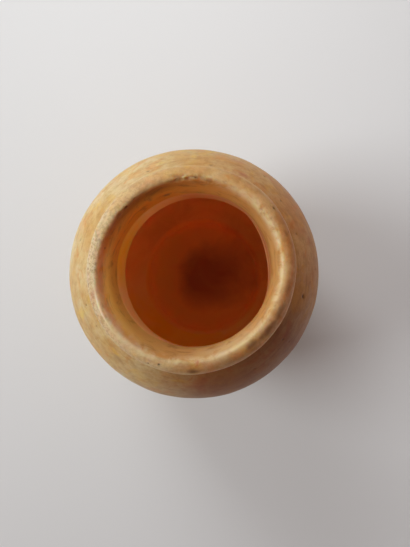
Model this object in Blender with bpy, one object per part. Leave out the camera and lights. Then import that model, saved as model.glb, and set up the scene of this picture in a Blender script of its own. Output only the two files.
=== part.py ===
"""Alabaster vase: an egg-shaped body on a flat base, a short neck and a thick everted lip.

Run it with: blender --background --python part.py
Units are metres and +Z is up. The origin is the centre of the flat underside.
The vase is carved from one block and drilled out through the mouth, so it is one object.
Its section is built as a chain of rings, up the outside, over the lip, down the inside.
"""

import math
from collections import namedtuple

import bmesh
import bpy
from mathutils import Vector
from mathutils.geometry import interpolate_bezier

# Overall sizes of the outside
HEIGHT = 0.120
BODY_RADIUS = 0.0500
BODY_LEVEL = 0.066
BASE_RADIUS = 0.027
BASE_ROUNDING = 0.0030

# Neck, measured down from the crest of the lip
NECK_RADIUS = 0.0296
NECK_DROP = 0.0125
SHOULDER_DROP = 0.0175
SHOULDER_FLARE = 0.0022

# Lip: how far it stands out from the neck, and where its outer edge and its crest lie
LIP_OVERHANG = 0.0038
LIP_EDGE_DROP = 0.0046
LIP_EDGE_ROUNDING = 0.0008
CREST_INSET = 0.0044

# Mouth and drilled neck, whose bore widens a little on its way down
THROAT_WALL = 0.0048
THROAT_DROP = 0.0065
BORE_WIDENING = 0.0008
BORE_DROP = 0.0180
BORE_EDGE_ROUNDING = 0.0009

# Hollow body: the wall at the widest level, the floor and the drill's ledge round it
BODY_WALL = 0.0075
FLOOR_THICKNESS = 0.0160
FLOOR_DISH = 0.0024
LEDGE_RADIUS = 0.0270
LEDGE_WIDTH = 0.0016
LEDGE_DEPTH = 0.0012

# The work is by hand: each of these sits a little off the body's axis, in X and Y
LIP_SHIFT = Vector((0.00115, -0.0001))
CREST_SHIFT = Vector((0.00055, -0.0005))
THROAT_SHIFT = Vector((0.0020, -0.0003))
BORE_SHIFT = Vector((0.0033, -0.0008))
BELLY_SHIFT = Vector((0.0026, 0.0000))

# How far the mouth is out of round, and the heading of its long way across
LIP_OUT_OF_ROUND = 0.00015
CREST_OUT_OF_ROUND = 0.0006
THROAT_OUT_OF_ROUND = 0.0003
OUT_OF_ROUND_HEADING = math.radians(40)

# How finely the curves are cut
SEGMENTS = 72
BODY_STEPS = 9
NECK_STEPS = 4
LIP_STEPS = 5
ROUNDING_STEPS = 2
FLOOR_STEPS = 4

# Arc of the flare inside the crest, from its brow down to its foot
FLARE_BROW = math.radians(36)
FLARE_FOOT = math.radians(62)

# Fold past which an edge is shaded as a crease
CREASE_ANGLE = math.radians(35)

STONE_COLOUR = (0.72, 0.50, 0.29, 1.0)
STONE_ROUGHNESS = 0.38

Ring = namedtuple("Ring", "radius level shift oval")


def clear_scene():
    """Removes every object that the file opened with."""
    for item in list(bpy.data.objects):
        bpy.data.objects.remove(item, do_unlink=True)


def curve_between(start, start_pull, end, end_pull, steps):
    """Points of a smooth curve from start to end, each a (radius, level) pair, pulled by its handles."""
    knots = [Vector((*point, 0)) for point in (start, start_pull, end_pull, end)]
    return [(point.x, point.y) for point in interpolate_bezier(*knots, steps + 1)]


def ellipse_radius(widest, half_height, rise):
    """Radius of an upright ellipse at a height above or below its widest level."""
    return widest * math.sqrt(max(0.0, 1 - (rise / half_height) ** 2))


def half_height_for(widest, radius, rise):
    """Half height of the ellipse that narrows from its widest radius to another within a rise."""
    return rise / math.sqrt(1 - (radius / widest) ** 2)


def ellipse_arc(widest, half_height, level, start_rise, end_rise, steps):
    """Points along an ellipse about a level, evenly spaced in its own angle."""
    start = math.asin(start_rise / half_height)
    end = math.asin(end_rise / half_height)
    points = []
    for step in range(steps + 1):
        angle = start + (end - start) * step / steps
        points.append((widest * math.cos(angle), level + half_height * math.sin(angle)))
    return points


def outside_profile():
    """Outline from the edge of the underside, up the body and neck, to the lip's outer edge."""
    lower_half = half_height_for(BODY_RADIUS, BASE_RADIUS, BODY_LEVEL)
    foot = BASE_ROUNDING - BODY_LEVEL
    foot_radius = ellipse_radius(BODY_RADIUS, lower_half, foot)
    rounding = curve_between(
        (BASE_RADIUS - BASE_ROUNDING, 0),
        (BASE_RADIUS - BASE_ROUNDING / 3, 0),
        (foot_radius, BASE_ROUNDING),
        (BASE_RADIUS + (foot_radius - BASE_RADIUS) / 3, BASE_ROUNDING / 3),
        ROUNDING_STEPS + 1,
    )
    lower_body = ellipse_arc(BODY_RADIUS, lower_half, BODY_LEVEL, foot, 0, BODY_STEPS)

    shoulder_radius = NECK_RADIUS + SHOULDER_FLARE
    shoulder_rise = HEIGHT - SHOULDER_DROP - BODY_LEVEL
    upper_half = half_height_for(BODY_RADIUS, shoulder_radius, shoulder_rise)
    upper_body = ellipse_arc(BODY_RADIUS, upper_half, BODY_LEVEL, 0, shoulder_rise, BODY_STEPS)

    before, shoulder = (Vector(point) for point in upper_body[-2:])
    waist = Vector((NECK_RADIUS, HEIGHT - NECK_DROP))
    reach = (waist - shoulder).length / 2
    shoulder_pull = shoulder + (shoulder - before).normalized() * reach
    neck = curve_between(shoulder, shoulder_pull, waist, waist - Vector((0, reach)), NECK_STEPS)

    lip_radius = NECK_RADIUS + LIP_OVERHANG
    under_edge = Vector((lip_radius - LIP_EDGE_ROUNDING, HEIGHT - LIP_EDGE_DROP - LIP_EDGE_ROUNDING))
    rise = (under_edge.y - waist.y) / 2
    under_lip = curve_between(
        waist,
        waist + Vector((0, rise)),
        under_edge,
        under_edge - Vector((LIP_OVERHANG / 2, rise / 2)),
        NECK_STEPS,
    )
    return rounding + lower_body[1:] + upper_body[1:] + neck[1:] + under_lip[1:]


def lip_profile():
    """Outline of the lip, from its outer edge over the crest to the crease at the throat."""
    lip_radius = NECK_RADIUS + LIP_OVERHANG
    edge_level = HEIGHT - LIP_EDGE_DROP
    crest_radius = lip_radius - CREST_INSET
    outer = []
    for step in range(LIP_STEPS + 1):
        angle = math.radians(90) * step / LIP_STEPS
        outer.append(
            (
                crest_radius + CREST_INSET * math.cos(angle),
                edge_level + LIP_EDGE_DROP * math.sin(angle),
            )
        )
    throat_radius = NECK_RADIUS - THROAT_WALL
    width = (crest_radius - throat_radius) / (math.sin(FLARE_FOOT) - math.sin(FLARE_BROW))
    depth = THROAT_DROP / (math.cos(FLARE_BROW) - math.cos(FLARE_FOOT))
    inner = []
    for step in range(1, LIP_STEPS + 1):
        angle = FLARE_BROW + (FLARE_FOOT - FLARE_BROW) * step / LIP_STEPS
        inner.append(
            (
                crest_radius - width * (math.sin(angle) - math.sin(FLARE_BROW)),
                HEIGHT - depth * (math.cos(FLARE_BROW) - math.cos(angle)),
            )
        )
    return outer, inner


def hollow_profile():
    """Outline of the drilled hollow, from under the throat's crease down to the floor's centre."""
    bore_radius = NECK_RADIUS - THROAT_WALL + BORE_WIDENING
    bore_level = HEIGHT - BORE_DROP
    inner_radius = BODY_RADIUS - BODY_WALL
    bore_rise = bore_level - BORE_EDGE_ROUNDING - BODY_LEVEL
    edge_radius = bore_radius + BORE_EDGE_ROUNDING
    upper_half = half_height_for(inner_radius, edge_radius, bore_rise)
    bore_edge = curve_between(
        (bore_radius, bore_level + BORE_EDGE_ROUNDING),
        (bore_radius, bore_level),
        (edge_radius, bore_level - BORE_EDGE_ROUNDING),
        (bore_radius + BORE_EDGE_ROUNDING / 3, bore_level - BORE_EDGE_ROUNDING / 2),
        ROUNDING_STEPS,
    )
    upper = ellipse_arc(inner_radius, upper_half, BODY_LEVEL, bore_rise, 0, BODY_STEPS)

    ledge_level = FLOOR_THICKNESS + FLOOR_DISH + LEDGE_DEPTH
    drop = BODY_LEVEL - ledge_level
    lower_half = half_height_for(inner_radius, LEDGE_RADIUS, drop)
    lower = ellipse_arc(inner_radius, lower_half, BODY_LEVEL, 0, -drop, BODY_STEPS)

    floor_radius = LEDGE_RADIUS - LEDGE_WIDTH
    floor = []
    for step in range(FLOOR_STEPS + 1):
        share = 1 - step / FLOOR_STEPS
        floor.append((floor_radius * share, FLOOR_THICKNESS + FLOOR_DISH * share**2))
    ledge = [(floor_radius + LEDGE_WIDTH / 4, ledge_level)]
    return bore_edge + upper[1:] + lower[1:] + ledge + floor


def eased_share(level, low, high):
    """Share of the way up from one level to another, held at both ends and eased between them."""
    share = min(1.0, max(0.0, (level - low) / (high - low)))
    return share * share * (3 - 2 * share)


def rings_between(points, start_shift, start_oval, end_shift, end_oval):
    """Rings at (radius, level) points, with the shift and the oval going evenly from start to end."""
    rings = []
    for step, (radius, level) in enumerate(points, start=1):
        share = step / len(points)
        oval = start_oval + (end_oval - start_oval) * share
        rings.append(Ring(radius, level, start_shift.lerp(end_shift, share), oval))
    return rings


def vase_rings():
    """Every ring of the section in order, with its shift and how far it is out of round."""
    rings = []
    for radius, level in outside_profile():
        share = eased_share(level, BODY_LEVEL, HEIGHT - LIP_EDGE_DROP)
        rings.append(Ring(radius, level, LIP_SHIFT * share, LIP_OUT_OF_ROUND * share))
    outer_lip, inner_lip = lip_profile()
    rings.append(Ring(*outer_lip[0], LIP_SHIFT, LIP_OUT_OF_ROUND))
    rings += rings_between(
        outer_lip[1:], LIP_SHIFT, LIP_OUT_OF_ROUND, CREST_SHIFT, CREST_OUT_OF_ROUND
    )
    rings += rings_between(
        inner_lip, CREST_SHIFT, CREST_OUT_OF_ROUND, THROAT_SHIFT, THROAT_OUT_OF_ROUND
    )
    for radius, level in hollow_profile():
        share = eased_share(level, BODY_LEVEL, HEIGHT - BORE_DROP)
        rings.append(Ring(radius, level, BELLY_SHIFT.lerp(BORE_SHIFT, share), 0.0))
    return rings


def ring_point(ring, segment):
    """Place of one vertex of a ring."""
    angle = math.tau * segment / SEGMENTS
    radius = ring.radius + ring.oval * math.cos(2 * (angle - OUT_OF_ROUND_HEADING))
    return (
        ring.shift.x + radius * math.cos(angle),
        ring.shift.y + radius * math.sin(angle),
        ring.level,
    )


def build_vase_mesh():
    """Skins the rings with faces, closes the underside and the floor, and returns the mesh."""
    rings = vase_rings()
    floor_centre = rings.pop()
    mesh = bpy.data.meshes.new("vase")
    bm = bmesh.new()
    loops = []
    for ring in rings:
        loops.append([bm.verts.new(ring_point(ring, segment)) for segment in range(SEGMENTS)])
    for lower, upper in zip(loops, loops[1:]):
        for here in range(SEGMENTS):
            there = (here + 1) % SEGMENTS
            bm.faces.new((lower[here], lower[there], upper[there], upper[here]))
    caps = (
        (loops[0], (0.0, 0.0, 0.0), True),
        (loops[-1], (floor_centre.shift.x, floor_centre.shift.y, floor_centre.level), False),
    )
    for loop, centre, underside in caps:
        middle = bm.verts.new(centre)
        for here in range(SEGMENTS):
            there = (here + 1) % SEGMENTS
            edge = (loop[there], loop[here]) if underside else (loop[here], loop[there])
            bm.faces.new((*edge, middle))
    bm.normal_update()
    bm.to_mesh(mesh)
    bm.free()
    return mesh


def stone_material():
    """Plain honey-coloured stone."""
    material = bpy.data.materials.new("alabaster")
    material.use_nodes = True
    shader = material.node_tree.nodes["Principled BSDF"]
    shader.inputs["Base Color"].default_value = STONE_COLOUR
    shader.inputs["Roughness"].default_value = STONE_ROUGHNESS
    shader.inputs["Metallic"].default_value = 0.0
    return material


def main():
    """Builds the vase at the origin."""
    clear_scene()
    mesh = build_vase_mesh()
    mesh.materials.append(stone_material())
    mesh.shade_smooth()
    mesh.set_sharp_from_angle(angle=CREASE_ANGLE)
    vase = bpy.data.objects.new("vase", mesh)
    bpy.context.scene.collection.objects.link(vase)


main()
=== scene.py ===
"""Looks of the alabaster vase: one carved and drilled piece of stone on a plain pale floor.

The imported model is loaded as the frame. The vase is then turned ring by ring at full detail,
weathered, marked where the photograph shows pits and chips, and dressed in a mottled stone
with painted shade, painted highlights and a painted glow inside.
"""

import logging
import math
import random
from dataclasses import dataclass, field
from enum import Enum
from typing import NamedTuple, Sequence

import bpy
import numpy as np
from mathutils import Matrix, Vector, noise
from mathutils.bvhtree import BVHTree

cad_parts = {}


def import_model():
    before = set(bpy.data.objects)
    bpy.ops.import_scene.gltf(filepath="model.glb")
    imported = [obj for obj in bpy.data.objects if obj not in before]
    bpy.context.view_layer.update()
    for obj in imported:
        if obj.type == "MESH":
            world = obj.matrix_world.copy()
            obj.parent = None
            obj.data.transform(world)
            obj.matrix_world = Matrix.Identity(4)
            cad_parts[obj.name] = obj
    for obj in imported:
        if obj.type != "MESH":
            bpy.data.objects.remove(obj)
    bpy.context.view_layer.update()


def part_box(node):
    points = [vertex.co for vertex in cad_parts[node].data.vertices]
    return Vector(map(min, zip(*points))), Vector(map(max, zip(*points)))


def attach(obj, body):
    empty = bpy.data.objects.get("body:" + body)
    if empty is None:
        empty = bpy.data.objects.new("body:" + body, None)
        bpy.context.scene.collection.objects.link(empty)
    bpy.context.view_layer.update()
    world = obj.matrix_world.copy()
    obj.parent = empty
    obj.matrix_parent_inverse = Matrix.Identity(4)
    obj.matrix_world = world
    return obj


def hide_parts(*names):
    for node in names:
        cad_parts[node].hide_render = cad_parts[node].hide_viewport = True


LOG = logging.getLogger("alabaster_vase")
MM = 0.001
LEAST_SEEN = 0.02

Colour = tuple[float, float, float, float]
Point2 = tuple[float, float]


class Layer(str, Enum):
    """Names of the mesh layers that say where the stone is worn or deep inside, and where shade, highlights
    and glow are painted on it.
    """

    ALONG = "along"
    DEPTH = "depth"
    WEAR = "wear"
    PAINTED_HIGHLIGHT = "painted_highlight"
    PAINTED_SIDE_SHADE = "painted_side_shade"
    TAN = "warm_shade"
    AMBER = "amber"
    GLOW = "glow"
    FLOOR = "floor"
    RUBBED_HIGHLIGHT = "rubbed_highlight"
    SHADE = "shade"
    OLIVE = "olive"


class Tint(str, Enum):
    """Names of the mesh layers that marks darken or redden."""

    DIRT = "dirt"
    RUST = "rust"
    ROSE = "rose"


class Landmark(Enum):
    """Places along the section from which distances are counted."""

    SHOULDER = "foot of the neck"
    EDGE = "lip's outer edge"
    CREST = "lip's crest"
    THROAT = "throat's crease"
    BORE_END = "lower end of the bore"
    LEDGE = "drill's ledge"


class Ring(NamedTuple):
    """One level ring of the turned section."""

    radius: float
    level: float
    shift: Vector
    oval: float


class Side(NamedTuple):
    """One side of the vase: a heading in degrees from +X towards +Y, fading out a spread away."""

    heading: float
    spread: float


class Band(NamedTuple):
    """A soft band round the vase, centred a distance past a landmark, with a reach to both sides."""

    past: Landmark
    centre: float
    reach: float


class Patch(NamedTuple):
    """A soft patch where a band crosses a side, with its strength, or its height in metres."""

    side: Side
    band: Band
    strength: float = 1.0


class Wave(NamedTuple):
    """Unevenness of the surface: its grain count in a metre, its height and the noise's offset."""

    grains: float
    height: float
    offset: float = 0.0


class Pattern(NamedTuple):
    """A cloudy pattern in the stone: it starts to show at low and is at its most at high.

    Scale is its cloud count in a metre, and offset moves it off another of the same scale.
    """

    scale: float
    octaves: float
    twist: float
    low: float = 0.0
    high: float = 1.0
    most: float = 1.0
    offset: float = 0.0


def deselect_all() -> None:
    if bpy.context.object is not None and bpy.context.object.mode != "OBJECT":
        bpy.ops.object.mode_set(mode="OBJECT")
    bpy.ops.object.select_all(action="DESELECT")


def shift_of(x: float, y: float) -> Vector:
    """Default value for a sideways shift, given in millimetres."""
    return field(default_factory=lambda: Vector((x * MM, y * MM)))


def smooth_step(value: np.ndarray | float, low: float, high: float) -> np.ndarray | float:
    """Eased share, from 0 at low to 1 at high.

    Args:
        value: The number or numbers to place.
        low: Where the share is 0.
        high: Where the share is 1.

    Returns:
        The eased share or shares.
    """
    share = np.clip((value - low) / (high - low), 0, 1)
    return share * share * (3 - 2 * share)


def bump(value: np.ndarray, centre: float, reach: float) -> np.ndarray:
    """Rounded bump of height 1 about a centre, which falls to about a third at its reach."""
    return np.exp(-(((value - centre) / reach) ** 2))


@dataclass
class Section:
    """The vase's turned section: outside, lip and drilled hollow, in metres."""

    height: float
    body_radius: float
    body_level: float = 66 * MM
    base_radius: float = 27 * MM
    base_rounding: float = 3.0 * MM
    neck_radius: float = 29.6 * MM
    neck_drop: float = 12.5 * MM
    shoulder_drop: float = 17.5 * MM
    shoulder_flare: float = 2.2 * MM
    lip_overhang: float = 3.8 * MM
    lip_edge_drop: float = 4.6 * MM
    lip_edge_rounding: float = 0.8 * MM
    crest_inset: float = 4.4 * MM
    throat_wall: float = 4.8 * MM
    throat_drop: float = 6.5 * MM
    bore_widening: float = 0.8 * MM
    bore_drop: float = 18.0 * MM
    bore_edge_rounding: float = 0.9 * MM
    body_wall: float = 7.5 * MM
    floor_thickness: float = 16.0 * MM
    floor_dish: float = 2.4 * MM
    ledge_radius: float = 27.0 * MM
    ledge_width: float = 1.6 * MM
    ledge_depth: float = 1.2 * MM
    lip_shift: Vector = shift_of(1.15, -0.1)
    crest_shift: Vector = shift_of(0.55, -0.5)
    throat_shift: Vector = shift_of(2.0, -0.3)
    bore_shift: Vector = shift_of(3.3, -0.8)
    belly_shift: Vector = shift_of(2.6, 0.0)
    lip_oval: float = 0.15 * MM
    crest_oval: float = 0.6 * MM
    throat_oval: float = 0.3 * MM
    oval_heading: float = math.radians(40)
    flare_brow: float = math.radians(36)
    flare_foot: float = math.radians(62)
    lower_steps: int = 7
    shoulder_steps: int = 11
    hollow_steps: int = 5
    neck_steps: int = 4
    lip_steps: int = 7
    floor_steps: int = 3

    @property
    def lip_radius(self) -> float:
        """Radius of the lip's outer edge."""
        return self.neck_radius + self.lip_overhang

    @property
    def throat_radius(self) -> float:
        """Radius of the crease where the lip's flare meets the bore."""
        return self.neck_radius - self.throat_wall

    @staticmethod
    def half_height(widest: float, radius: float, rise: float) -> float:
        """Half height of the ellipse that narrows from its widest radius to another in a rise."""
        return rise / math.sqrt(1 - (radius / widest) ** 2)

    def arc(self, widest: float, half: float, start: float, end: float, steps: int) -> list[Point2]:
        """Points along an upright ellipse about the body's level.

        Args:
            widest: The ellipse's radius at the body's level.
            half: Its half height.
            start: Height above the body's level where the arc starts.
            end: Height where it ends.
            steps: How many steps it takes.

        Returns:
            Its (radius, level) points, both ends included.
        """
        first, last = math.asin(start / half), math.asin(end / half)
        angles = [first + (last - first) * step / steps for step in range(steps + 1)]
        return [(widest * math.cos(a), self.body_level + half * math.sin(a)) for a in angles]

    @staticmethod
    def bend(
        start: Point2, end: Point2, start_slope: Point2, end_slope: Point2, steps: int
    ) -> list[Point2]:
        """Points of a smooth bend that leaves start and reaches end along two given slopes.

        Args:
            start: First (radius, level) point.
            end: Last point.
            start_slope: Way in which the bend leaves its start.
            end_slope: Way in which it reaches its end.
            steps: How many steps it takes.

        Returns:
            Its points, both ends included.
        """
        a, b = Vector(start), Vector(end)
        reach = (b - a).length / 3
        pull_a = a + Vector(start_slope).normalized() * reach
        pull_b = b - Vector(end_slope).normalized() * reach
        points = []
        for step in range(steps + 1):
            t = step / steps
            p = a * (1 - t) ** 3 + pull_a * 3 * t * (1 - t) ** 2 + pull_b * 3 * t * t * (1 - t) + b * t**3
            points.append((p.x, p.y))
        return points

    def outside(self) -> list[Point2]:
        """Outline from the flat underside, up the body and neck, to the lip's outer edge.

        Returns:
            Its (radius, level) points.
        """
        half = self.half_height(self.body_radius, self.base_radius, self.body_level)
        foot = self.base_rounding - self.body_level
        lower = self.arc(self.body_radius, half, foot, 0, self.lower_steps)
        flat = self.base_radius - self.base_rounding
        up = (lower[1][0] - lower[0][0], lower[1][1] - lower[0][1])
        rounding = self.bend((flat, 0), lower[0], (1, 0), up, 3)

        shoulder_radius = self.neck_radius + self.shoulder_flare
        rise = self.height - self.shoulder_drop - self.body_level
        half = self.half_height(self.body_radius, shoulder_radius, rise)
        upper = self.arc(self.body_radius, half, 0, rise, self.shoulder_steps)
        slope = (upper[-1][0] - upper[-2][0], upper[-1][1] - upper[-2][1])
        waist = (self.neck_radius, self.height - self.neck_drop)
        neck = self.bend(upper[-1], waist, slope, (0, 1), self.neck_steps)

        edge_level = self.height - self.lip_edge_drop - self.lip_edge_rounding
        under_edge = (self.lip_radius - self.lip_edge_rounding, edge_level)
        under_lip = self.bend(waist, under_edge, (0, 1), (1, 0.35), self.neck_steps)
        return rounding + lower[1:] + upper[1:] + neck[1:] + under_lip[1:]

    def outer_lip(self) -> list[Point2]:
        """Outline of the lip's rounded outer slope, from its edge up to its crest.

        Returns:
            Its (radius, level) points.
        """
        crest = self.lip_radius - self.crest_inset
        points = []
        for step in range(self.lip_steps + 1):
            angle = math.radians(90) * step / self.lip_steps
            drop = self.lip_edge_drop * (1 - math.sin(angle))
            points.append((crest + self.crest_inset * math.cos(angle), self.height - drop))
        return points

    def flare(self) -> list[Point2]:
        """Outline of the lip's inner flare, from just inside the crest down to the throat's crease.

        Returns:
            Its (radius, level) points.
        """
        crest = self.lip_radius - self.crest_inset
        brow, foot = self.flare_brow, self.flare_foot
        width = (crest - self.throat_radius) / (math.sin(foot) - math.sin(brow))
        depth = self.throat_drop / (math.cos(brow) - math.cos(foot))
        points = []
        for step in range(1, self.lip_steps + 1):
            angle = brow + (foot - brow) * step / self.lip_steps
            across = width * (math.sin(angle) - math.sin(brow))
            points.append((crest - across, self.height - depth * (math.cos(brow) - math.cos(angle))))
        return points

    def bore(self) -> list[Point2]:
        """Outline of the drilled neck, from under the throat's crease to its lower edge.

        Returns:
            Its (radius, level) points.
        """
        top = self.height - self.throat_drop
        drop = self.bore_drop - self.throat_drop - self.bore_edge_rounding
        return [
            (self.throat_radius + self.bore_widening * share, top - drop * share)
            for share in (0.035, 0.2, 0.5, 0.8, 1.0)
        ]

    def hollow(self) -> list[Point2]:
        """Outline of the round hollow, the drill's ledge and the dished floor.

        Returns:
            Its (radius, level) points.
        """
        bore_radius = self.throat_radius + self.bore_widening
        bore_level = self.height - self.bore_drop
        inner = self.body_radius - self.body_wall
        rise = bore_level - self.bore_edge_rounding - self.body_level
        upper_half = self.half_height(inner, bore_radius + self.bore_edge_rounding, rise)
        upper = self.arc(inner, upper_half, rise, 0, self.hollow_steps)
        slope = (upper[1][0] - upper[0][0], upper[1][1] - upper[0][1])
        edge = self.bend((bore_radius, bore_level + self.bore_edge_rounding), upper[0], (0, -1), slope, 3)

        ledge_level = self.floor_thickness + self.floor_dish + self.ledge_depth
        drop = self.body_level - ledge_level
        lower_half = self.half_height(inner, self.ledge_radius, drop)
        lower = self.arc(inner, lower_half, 0, -drop, self.hollow_steps)
        floor_radius = self.ledge_radius - self.ledge_width
        ledge = [(self.ledge_radius - self.ledge_width * 0.4, ledge_level)]
        ledge.append((floor_radius + self.ledge_width / 4, ledge_level - self.ledge_depth / 8))
        floor = []
        for step in range(self.floor_steps):
            share = 1 - step / self.floor_steps
            floor.append((floor_radius * share, self.floor_thickness + self.floor_dish * share**2))
        return edge[1:] + upper[1:] + lower[1:] + ledge + floor

    def rings(self) -> list[Ring]:
        """Sets out every ring of the section in order, from the underside over the lip to the floor.

        Returns:
            The rings, each with its sideways shift and how far it is oval.
        """
        rings = []
        edge_level = self.height - self.lip_edge_drop
        for radius, level in self.outside():
            share = smooth_step(level, self.body_level, edge_level)
            rings.append(Ring(radius, level, self.lip_shift * share, self.lip_oval * share))
        outer, flare, bore = self.outer_lip(), self.flare(), self.bore()
        rings.append(Ring(*outer[0], self.lip_shift, self.lip_oval))
        stretches = (
            (outer[1:], self.lip_shift, self.lip_oval, self.crest_shift, self.crest_oval),
            (flare, self.crest_shift, self.crest_oval, self.throat_shift, self.throat_oval),
            (bore, self.throat_shift, self.throat_oval, self.bore_shift, 0.0),
        )
        for points, start_shift, start_oval, end_shift, end_oval in stretches:
            top, bottom = rings[-1].level, points[-1][1]
            for radius, level in points:
                share = (level - top) / (bottom - top)
                oval = start_oval + (end_oval - start_oval) * share
                rings.append(Ring(radius, level, start_shift.lerp(end_shift, share), oval))
        for radius, level in self.hollow():
            share = smooth_step(level, self.body_level, self.height - self.bore_drop)
            rings.append(Ring(radius, level, self.belly_shift.lerp(self.bore_shift, share), 0.0))
        return rings

    def runs(self) -> list[float]:
        """Measures how far along the section each ring lies, from the underside's edge.

        Returns:
            One distance for each ring.
        """
        rings = self.rings()
        runs = [0.0]
        for before, after in zip(rings, rings[1:]):
            runs.append(runs[-1] + math.hypot(after.radius - before.radius, after.level - before.level))
        return runs

    def landmarks(self) -> dict[Landmark, float]:
        """Finds the places along the section where the stone's look changes.

        Returns:
            The distance along the section of each.
        """
        runs = self.runs()
        edge = len(self.outside())
        crest = edge + self.lip_steps
        throat = crest + self.lip_steps
        return {
            Landmark.SHOULDER: runs[edge - 2 * self.neck_steps],
            Landmark.EDGE: runs[edge],
            Landmark.CREST: runs[crest],
            Landmark.THROAT: runs[throat],
            Landmark.BORE_END: runs[throat + len(self.bore())],
            Landmark.LEDGE: runs[-self.floor_steps - 3],
        }


@dataclass(frozen=True)
class Viewpoint:
    """The photograph's own camera, from which the render is made and marks are placed."""

    place: tuple[float, float, float] = (0.009, -0.00725, 0.2896)
    image_size: tuple[int, int] = (410, 547)
    focal_pixels: float = 547.0
    nadir_pixel: Point2 = (216.2, 291.4)
    sensor_mm: float = 36.0
    clip_range: tuple[float, float] = (0.01, 20)

    def axes(self) -> Matrix:
        """Works out how the camera is turned.

        Returns:
            Its right, up and back directions as the columns of a matrix.
        """
        centre = (self.image_size[0] / 2, self.image_size[1] / 2)
        across = -(self.nadir_pixel[0] - centre[0]) / self.focal_pixels
        along = (self.nadir_pixel[1] - centre[1]) / self.focal_pixels
        forward = Vector((across, along, -1)).normalized()
        up = Vector((0, 1, 0))
        up = (up - forward * up.dot(forward)).normalized()
        return Matrix((forward.cross(up), up, -forward)).transposed()

    def ray(self, pixel: Point2) -> Vector:
        """Direction in which a pixel of the photograph looks.

        Args:
            pixel: Its place in the photograph, x to the right and y down.

        Returns:
            The unit direction in the frame.
        """
        across = (pixel[0] - self.image_size[0] / 2) / self.focal_pixels
        down = (pixel[1] - self.image_size[1] / 2) / self.focal_pixels
        return (self.axes() @ Vector((across, -down, -1))).normalized()

    def build(self) -> None:
        """Makes the camera and hands it to the scene."""
        data = bpy.data.cameras.new("photo_view")
        data.sensor_width = self.sensor_mm
        data.lens = self.sensor_mm * self.focal_pixels / max(self.image_size)
        data.clip_start, data.clip_end = self.clip_range
        camera = bpy.data.objects.new("photo_view", data)
        camera.matrix_world = Matrix.Translation(self.place) @ self.axes().to_4x4()
        bpy.context.scene.collection.objects.link(camera)
        bpy.context.scene.camera = camera


@dataclass(frozen=True)
class Mark:
    """A pit, chip, smudge or stain. It only ever takes stone away or colours it.

    The pixel is where the photograph shows it, and heading is the way it is stretched,
    in degrees from +X towards +Y.
    """

    name: str
    pixel: Point2
    radius: float
    depth: float = 0.0
    stain: float = 0.0
    stretch: float = 1.0
    heading: float = 0.0
    tint: Tint = Tint.DIRT


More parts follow.
